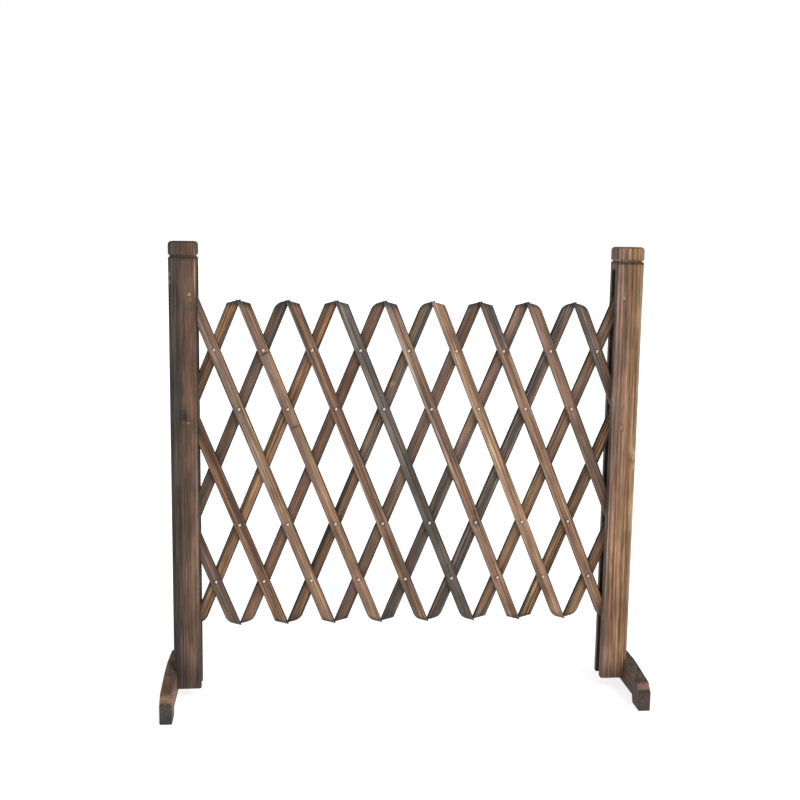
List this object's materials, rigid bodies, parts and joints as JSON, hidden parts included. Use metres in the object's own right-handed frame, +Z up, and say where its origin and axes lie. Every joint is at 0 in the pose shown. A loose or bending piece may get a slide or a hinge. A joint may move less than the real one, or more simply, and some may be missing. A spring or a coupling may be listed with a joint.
{
  "type": "expanding trellis fence",
  "caption": "Free-standing folding fence: a riveted wooden lattice that opens and closes like lazy tongs between slotted posts on feet.",
  "frame": {"origin": "on the floor, in the middle between the posts and between front and back", "axes": "+X along the fence to the right post, +Y to the back, +Z up"},
  "size_m": [0.759, 0.21, 0.721],
  "materials": {
    "left_post_pine": "carbonised, brushed grain, matt",
    "left_foot_pine": "carbonised, brushed grain, matt",
    "right_post_pine": "carbonised, brushed grain, matt",
    "right_foot_pine": "carbonised, brushed grain, matt",
    "front_slat_01_pine": "carbonised, brushed grain, matt",
    "front_slat_02_pine": "carbonised, brushed grain, matt",
    "front_slat_03_pine": "carbonised, brushed grain, matt",
    "front_slat_04_pine": "carbonised, brushed grain, matt",
    "front_slat_05_pine": "carbonised, brushed grain, matt",
    "front_slat_06_pine": "carbonised, brushed grain, matt",
    "front_slat_07_pine": "carbonised, brushed grain, matt",
    "front_slat_08_pine": "carbonised, brushed grain, matt",
    "front_slat_09_pine": "carbonised, brushed grain, matt",
    "front_slat_10_pine": "carbonised, brushed grain, matt",
    "front_slat_11_pine": "carbonised, brushed grain, matt",
    "back_slat_01_pine": "carbonised, brushed grain, matt",
    "back_slat_02_pine": "carbonised, brushed grain, matt",
    "back_slat_03_pine": "carbonised, brushed grain, matt",
    "back_slat_04_pine": "carbonised, brushed grain, matt",
    "back_slat_05_pine": "carbonised, brushed grain, matt",
    "back_slat_06_pine": "carbonised, brushed grain, matt",
    "back_slat_07_pine": "carbonised, brushed grain, matt",
    "back_slat_08_pine": "carbonised, brushed grain, matt",
    "back_slat_09_pine": "carbonised, brushed grain, matt",
    "back_slat_10_pine": "carbonised, brushed grain, matt",
    "back_slat_11_pine": "carbonised, brushed grain, matt",
    "zinc_steel": "zinc plated, satin"
  },
  "bodies": {
    "left_post": {"left_post": "left_post_pine", "left_foot": "left_foot_pine", "left_foot_screw_front": "zinc_steel", "left_foot_screw_rear": "zinc_steel", "left_pivot_pin": "zinc_steel"},
    "right_post": {"right_post": "right_post_pine", "right_foot": "right_foot_pine", "right_foot_screw_front": "zinc_steel", "right_foot_screw_rear": "zinc_steel", "right_pivot_pin": "zinc_steel"},
    "front_slat_01": {"front_slat_01": "front_slat_01_pine", "rivet_row5_01": "zinc_steel"},
    "front_slat_02": {"front_slat_02": "front_slat_02_pine", "rivet_row5_02": "zinc_steel"},
    "front_slat_03": {"front_slat_03": "front_slat_03_pine", "rivet_row1_01": "zinc_steel", "rivet_row2_01": "zinc_steel", "rivet_row4_02": "zinc_steel", "rivet_row5_03": "zinc_steel"},
    "front_slat_04": {"front_slat_04": "front_slat_04_pine", "rivet_row2_02": "zinc_steel", "rivet_row4_03": "zinc_steel"},
    "front_slat_05": {"front_slat_05": "front_slat_05_pine", "rivet_row2_03": "zinc_steel"},
    "front_slat_06": {"front_slat_06": "front_slat_06_pine", "rivet_row2_04": "zinc_steel", "rivet_row4_05": "zinc_steel"},
    "front_slat_07": {"front_slat_07": "front_slat_07_pine", "rivet_row1_05": "zinc_steel", "rivet_row2_05": "zinc_steel", "rivet_row4_06": "zinc_steel", "rivet_row5_07": "zinc_steel"},
    "front_slat_08": {"front_slat_08": "front_slat_08_pine", "rivet_row4_07": "zinc_steel", "rivet_row5_08": "zinc_steel"},
    "front_slat_09": {"front_slat_09": "front_slat_09_pine", "rivet_row2_07": "zinc_steel", "rivet_row5_09": "zinc_steel"},
    "front_slat_10": {"front_slat_10": "front_slat_10_pine", "rivet_row2_08": "zinc_steel"},
    "front_slat_11": {"front_slat_11": "front_slat_11_pine", "rivet_row1_09": "zinc_steel"},
    "back_slat_01": {"back_slat_01": "back_slat_01_pine"},
    "back_slat_02": {"back_slat_02": "back_slat_02_pine"},
    "back_slat_03": {"back_slat_03": "back_slat_03_pine"},
    "back_slat_04": {"back_slat_04": "back_slat_04_pine"},
    "back_slat_05": {"back_slat_05": "back_slat_05_pine"},
    "back_slat_06": {"back_slat_06": "back_slat_06_pine"},
    "back_slat_07": {"back_slat_07": "back_slat_07_pine"},
    "back_slat_08": {"back_slat_08": "back_slat_08_pine"},
    "back_slat_09": {"back_slat_09": "back_slat_09_pine"},
    "back_slat_10": {"back_slat_10": "back_slat_10_pine"},
    "back_slat_11": {"back_slat_11": "back_slat_11_pine"}
  },
  "joints": [
    {"name": "fence_spread", "type": "hinge", "parent": "left_post", "child": "front_slat_03", "pos_m": [-0.33401, 0, 0.642], "axis": [0, -1, 0], "range_deg": [-16, 24]},
    {"name": "back_slat_01_turn", "type": "hinge", "parent": "front_slat_03", "child": "back_slat_01", "pos_m": [-0.29925, 0, 0.55682], "axis": [0, -1, 0], "range_deg": [-48, 32]},
    {"name": "back_slat_02_turn", "type": "hinge", "parent": "front_slat_03", "child": "back_slat_02", "pos_m": [-0.26184, 0, 0.46516], "axis": [0, -1, 0], "range_deg": [-48, 32]},
    {"name": "back_slat_04_turn", "type": "hinge", "parent": "front_slat_03", "child": "back_slat_04", "pos_m": [-0.18703, 0, 0.28184], "axis": [0, -1, 0], "range_deg": [-48, 32]},
    {"name": "back_slat_05_turn", "type": "hinge", "parent": "front_slat_03", "child": "back_slat_05", "pos_m": [-0.14963, 0, 0.19018], "axis": [0, -1, 0], "range_deg": [-48, 32]},
    {"name": "front_slat_02_turn", "type": "hinge", "parent": "back_slat_04", "child": "front_slat_02", "pos_m": [-0.22444, 0, 0.19018], "axis": [0, -1, 0], "range_deg": [-32, 48]},
    {"name": "front_slat_04_turn", "type": "hinge", "parent": "back_slat_05", "child": "front_slat_04", "pos_m": [-0.11222, 0, 0.28184], "axis": [0, -1, 0], "range_deg": [-32, 48]},
    {"name": "front_slat_05_turn", "type": "hinge", "parent": "back_slat_04", "child": "front_slat_05", "pos_m": [-0.11222, 0, 0.46516], "axis": [0, -1, 0], "range_deg": [-32, 48]},
    {"name": "front_slat_06_turn", "type": "hinge", "parent": "back_slat_05", "child": "front_slat_06", "pos_m": [-0.03741, 0, 0.46516], "axis": [0, -1, 0], "range_deg": [-32, 48]},
    {"name": "front_slat_07_turn", "type": "hinge", "parent": "back_slat_05", "child": "front_slat_07", "pos_m": [0, 0, 0.55682], "axis": [0, -1, 0], "range_deg": [-32, 48]},
    {"name": "back_slat_03_turn", "type": "hinge", "parent": "front_slat_04", "child": "back_slat_03", "pos_m": [-0.18703, 0, 0.46516], "axis": [0, -1, 0], "range_deg": [-48, 32]},
    {"name": "back_slat_06_turn", "type": "hinge", "parent": "front_slat_07", "child": "back_slat_06", "pos_m": [0.03741, 0, 0.46516], "axis": [0, -1, 0], "range_deg": [-48, 32]},
    {"name": "back_slat_07_turn", "type": "hinge", "parent": "front_slat_06", "child": "back_slat_07", "pos_m": [0.03741, 0, 0.28184], "axis": [0, -1, 0], "range_deg": [-48, 32]},
    {"name": "back_slat_08_turn", "type": "hinge", "parent": "front_slat_07", "child": "back_slat_08", "pos_m": [0.11222, 0, 0.28184], "axis": [0, -1, 0], "range_deg": [-48, 32]},
    {"name": "back_slat_09_turn", "type": "hinge", "parent": "front_slat_07", "child": "back_slat_09", "pos_m": [0.14963, 0, 0.19018], "axis": [0, -1, 0], "range_deg": [-48, 32]},
    {"name": "front_slat_01_turn", "type": "hinge", "parent": "back_slat_03", "child": "front_slat_01", "pos_m": [-0.29925, 0, 0.19018], "axis": [0, -1, 0], "range_deg": [-32, 48]},
    {"name": "front_slat_08_turn", "type": "hinge", "parent": "back_slat_09", "child": "front_slat_08", "pos_m": [0.18703, 0, 0.28184], "axis": [0, -1, 0], "range_deg": [-32, 48]},
    {"name": "front_slat_09_turn", "type": "hinge", "parent": "back_slat_08", "child": "front_slat_09", "pos_m": [0.18703, 0, 0.46516], "axis": [0, -1, 0], "range_deg": [-32, 48]},
    {"name": "front_slat_10_turn", "type": "hinge", "parent": "back_slat_09", "child": "front_slat_10", "pos_m": [0.26184, 0, 0.46516], "axis": [0, -1, 0], "range_deg": [-32, 48]},
    {"name": "front_slat_11_turn", "type": "hinge", "parent": "back_slat_09", "child": "front_slat_11", "pos_m": [0.29925, 0, 0.55682], "axis": [0, -1, 0], "range_deg": [-32, 48]},
    {"name": "back_slat_10_turn", "type": "hinge", "parent": "front_slat_08", "child": "back_slat_10", "pos_m": [0.22444, 0, 0.19018], "axis": [0, -1, 0], "range_deg": [-48, 32]},
    {"name": "back_slat_11_turn", "type": "hinge", "parent": "front_slat_09", "child": "back_slat_11", "pos_m": [0.29925, 0, 0.19018], "axis": [0, -1, 0], "range_deg": [-48, 32]},
    {"name": "right_post_turn", "type": "hinge", "parent": "back_slat_09", "child": "right_post", "pos_m": [0.33401, 0, 0.642], "axis": [0, -1, 0], "range_deg": [-16, 24]}
  ],
  "couplings": [
    {"joint": "back_slat_01_turn", "follows": "fence_spread", "ratio": -2},
    {"joint": "back_slat_02_turn", "follows": "fence_spread", "ratio": -2},
    {"joint": "back_slat_04_turn", "follows": "fence_spread", "ratio": -2},
    {"joint": "back_slat_05_turn", "follows": "fence_spread", "ratio": -2},
    {"joint": "front_slat_02_turn", "follows": "fence_spread", "ratio": 2},
    {"joint": "front_slat_04_turn", "follows": "fence_spread", "ratio": 2},
    {"joint": "front_slat_05_turn", "follows": "fence_spread", "ratio": 2},
    {"joint": "front_slat_06_turn", "follows": "fence_spread", "ratio": 2},
    {"joint": "front_slat_07_turn", "follows": "fence_spread", "ratio": 2},
    {"joint": "back_slat_03_turn", "follows": "fence_spread", "ratio": -2},
    {"joint": "back_slat_06_turn", "follows": "fence_spread", "ratio": -2},
    {"joint": "back_slat_07_turn", "follows": "fence_spread", "ratio": -2},
    {"joint": "back_slat_08_turn", "follows": "fence_spread", "ratio": -2},
    {"joint": "back_slat_09_turn", "follows": "fence_spread", "ratio": -2},
    {"joint": "front_slat_01_turn", "follows": "fence_spread", "ratio": 2},
    {"joint": "front_slat_08_turn", "follows": "fence_spread", "ratio": 2},
    {"joint": "front_slat_09_turn", "follows": "fence_spread", "ratio": 2},
    {"joint": "front_slat_10_turn", "follows": "fence_spread", "ratio": 2},
    {"joint": "front_slat_11_turn", "follows": "fence_spread", "ratio": 2},
    {"joint": "back_slat_10_turn", "follows": "fence_spread", "ratio": -2},
    {"joint": "back_slat_11_turn", "follows": "fence_spread", "ratio": -2},
    {"joint": "right_post_turn", "follows": "fence_spread", "ratio": 1}
  ]
}
